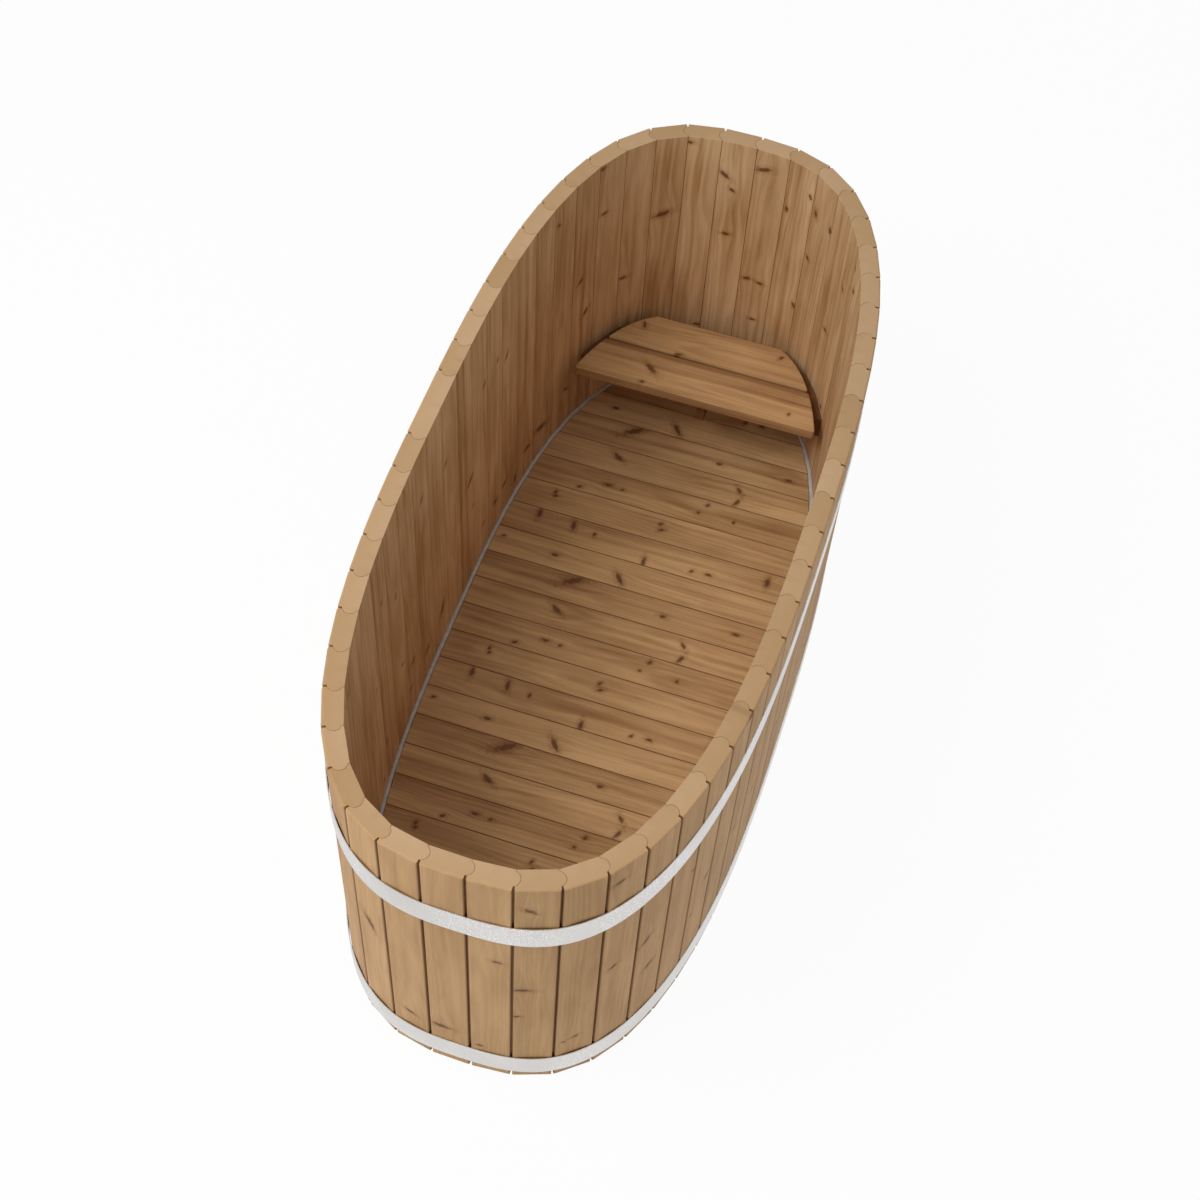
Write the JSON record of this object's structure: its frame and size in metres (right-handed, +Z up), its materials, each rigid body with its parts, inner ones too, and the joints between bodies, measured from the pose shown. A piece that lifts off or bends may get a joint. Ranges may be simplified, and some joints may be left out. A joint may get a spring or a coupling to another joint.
{
  "type": "wooden plunge tub",
  "caption": "Deep oval tub of upright wooden staves held by steel hoops, with a boarded floor, a lift-out curved seat and a plugged drain.",
  "frame": {"origin": "on the ground, under the middle of the tub", "axes": "+Z up, +Y along the tub's length towards the end with the seat, +X across it to the right"},
  "size_m": [0.772, 1.758, 0.788],
  "materials": {
    "wall_wood": "planed heat-treated softwood",
    "floor_wood": "planed heat-treated softwood",
    "seat_wood": "planed heat-treated softwood",
    "bearer_wood": "sawn heat-treated softwood",
    "hoop_steel": "satin stainless",
    "fastener_steel": "plain stainless",
    "seal": "grey sealant",
    "drain_metal": "polished",
    "plug_rubber": "matt black"
  },
  "bodies": {
    "tub": {"closing_stave": "wall_wood", "wall_staves_01": "wall_wood", "wall_staves_02": "wall_wood", "wall_staves_03": "wall_wood", "wall_staves_04": "wall_wood", "wall_staves_05": "wall_wood", "wall_staves_06": "wall_wood", "wall_staves_07": "wall_wood", "wall_staves_08": "wall_wood", "wall_staves_09": "wall_wood", "wall_staves_10": "wall_wood", "wall_staves_11": "wall_wood", "wall_staves_12": "wall_wood", "wall_staves_13": "wall_wood", "wall_staves_14": "wall_wood", "wall_staves_15": "wall_wood", "wall_staves_16": "wall_wood", "wall_staves_17": "wall_wood", "wall_staves_18": "wall_wood", "floor_board_01": "floor_wood", "floor_board_02": "floor_wood", "floor_board_03": "floor_wood", "floor_board_04": "floor_wood", "floor_board_05": "floor_wood", "floor_board_06": "floor_wood", "floor_board_07": "floor_wood", "floor_board_08": "floor_wood", "floor_board_09": "floor_wood", "floor_board_10": "floor_wood", "floor_board_11": "floor_wood", "floor_board_12": "floor_wood", "floor_board_13": "floor_wood", "floor_board_14": "floor_wood", "floor_board_15": "floor_wood", "floor_board_16": "floor_wood", "floor_board_17": "floor_wood", "floor_board_18": "floor_wood", "floor_board_19": "floor_wood", "floor_board_20": "floor_wood", "floor_board_21": "floor_wood", "floor_board_22": "floor_wood", "floor_board_23": "floor_wood", "floor_seal": "seal", "floor_bearers": "bearer_wood", "lower_hoop": "hoop_steel", "upper_hoop": "hoop_steel", "hoop_lugs": "hoop_steel", "hoop_bolts": "fastener_steel", "hoop_nuts": "fastener_steel", "seat_rests": "seat_wood", "rest_screws": "fastener_steel", "drain_flange": "drain_metal", "drain_nut": "drain_metal"},
    "seat": {"seat_front_board": "seat_wood", "seat_back_board": "seat_wood", "seat_batten": "seat_wood", "seat_screws": "fastener_steel"},
    "drain_plug": {"drain_plug": "plug_rubber"}
  },
  "joints": [
    {"name": "seat_lift", "type": "slide", "parent": "tub", "child": "seat", "axis": [0, 0, 1], "range_m": [0, 0.6]},
    {"name": "plug_lift", "type": "slide", "parent": "tub", "child": "drain_plug", "axis": [0, 0, 1], "range_m": [0, 0.74]}
  ]
}
